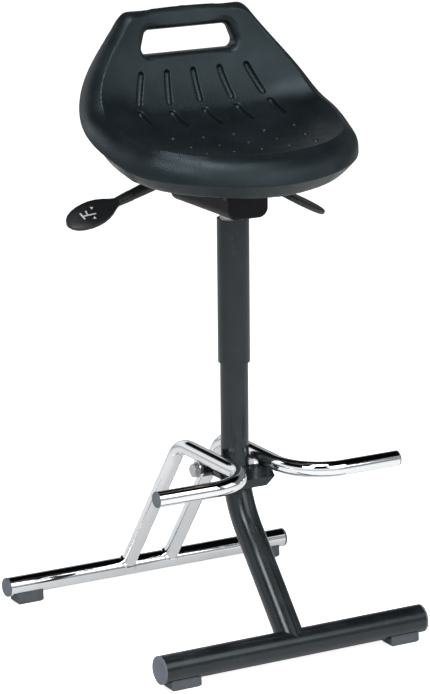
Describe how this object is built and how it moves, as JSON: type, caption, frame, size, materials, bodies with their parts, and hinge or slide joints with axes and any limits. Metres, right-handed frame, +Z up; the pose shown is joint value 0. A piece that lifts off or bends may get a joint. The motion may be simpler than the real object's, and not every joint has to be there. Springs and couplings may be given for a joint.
{
  "type": "perch stool",
  "caption": "Perch stool with a moulded tilting seat, gas spring column, bent leg on a cross foot bar and a folding tube frame with footrests.",
  "frame": {"origin": "on the floor, under the middle of the outline of the feet", "axes": "+Z up, +Y to the back of the stool, +X to the right seen from the front; the front foot bar lies towards -Y"},
  "size_m": [0.502, 0.4936, 0.9415],
  "materials": {
    "black_powder_coat": "satin",
    "bright_chrome": "polished",
    "cap_plastic": "matte",
    "pad_rubber": "matte",
    "zinc_steel": "satin",
    "guide_plastic": "satin",
    "lever_plastic": "satin",
    "seat_polyurethane": "satin",
    "plywood": "matte"
  },
  "bodies": {
    "base": {"post_leg_tube": "black_powder_coat", "front_foot_bar": "black_powder_coat", "front_bar_caps": "cap_plastic", "front_floor_pads": "pad_rubber", "front_pad_screws": "zinc_steel", "stop_bracket": "black_powder_coat", "pivot_lug": "black_powder_coat", "pivot_bushes": "guide_plastic", "post_top_guide": "guide_plastic", "spring_support": "zinc_steel", "thrust_bearing": "zinc_steel"},
    "folding_frame": {"left_footrest_tube": "bright_chrome", "right_footrest_tube": "bright_chrome", "rear_foot_bar": "bright_chrome", "rear_bar_caps": "cap_plastic", "footrest_caps": "cap_plastic", "rear_floor_pads": "pad_rubber", "rear_pad_screws": "zinc_steel", "left_frame_ear": "bright_chrome", "right_frame_ear": "bright_chrome", "pivot_bolt": "bright_chrome", "pivot_washers": "bright_chrome", "pivot_nut": "bright_chrome"},
    "gas_rod": {"gas_spring_rod": "zinc_steel", "rod_washer": "zinc_steel", "rod_clip": "zinc_steel"},
    "column": {"outer_sleeve": "black_powder_coat", "sleeve_guide_bush": "guide_plastic", "sleeve_collar": "zinc_steel", "gas_spring_cylinder": "black_powder_coat", "mechanism_housing": "black_powder_coat", "taper_socket": "black_powder_coat", "tilt_pin": "zinc_steel", "lever_bracket": "black_powder_coat", "tilt_clamp_nut": "zinc_steel"},
    "release_button": {"release_button": "zinc_steel"},
    "height_lever": {"height_rod": "zinc_steel", "height_handle": "lever_plastic"},
    "tilt_lever": {"tilt_clamp_bolt": "zinc_steel", "tilt_handle": "lever_plastic"},
    "seat": {"seat_foam": "seat_polyurethane", "seat_insert": "plywood", "seat_plate": "black_powder_coat", "seat_screws": "zinc_steel"}
  },
  "joints": [
    {"name": "frame_fold", "type": "hinge", "parent": "base", "child": "folding_frame", "pos_m": [0, -0.01024, 0.25], "axis": [-1, 0, 0], "range_deg": [0, 80]},
    {"name": "seat_swivel", "type": "hinge", "parent": "base", "child": "gas_rod", "pos_m": [0, -0.05524, 0.3], "axis": [0, 0, 1], "continuous": true},
    {"name": "height_slide", "type": "slide", "parent": "gas_rod", "child": "column", "axis": [0, 0, 1], "range_m": [-0.07, 0.09]},
    {"name": "seat_tilt", "type": "hinge", "parent": "column", "child": "seat", "pos_m": [0, -0.08924, 0.684], "axis": [1, 0, 0], "range_deg": [-1.5, 5]},
    {"name": "tilt_clamp", "type": "hinge", "parent": "column", "child": "tilt_lever", "pos_m": [0, 0.05676, 0.686], "axis": [1, 0, 0], "range_deg": [0, 60]},
    {"name": "height_release", "type": "hinge", "parent": "column", "child": "height_lever", "pos_m": [0.02, 0.03476, 0.689], "axis": [0, -1, 0], "range_deg": [0, 5.5], "stiffness_Nm_per_rad": 1},
    {"name": "button_press", "type": "slide", "parent": "column", "child": "release_button", "axis": [0, 0, -1], "range_m": [0, 0.0026], "stiffness_N_per_m": 500}
  ],
  "couplings": [
    {"joint": "button_press", "follows": "height_release", "m_per_rad": 0.0241}
  ]
}
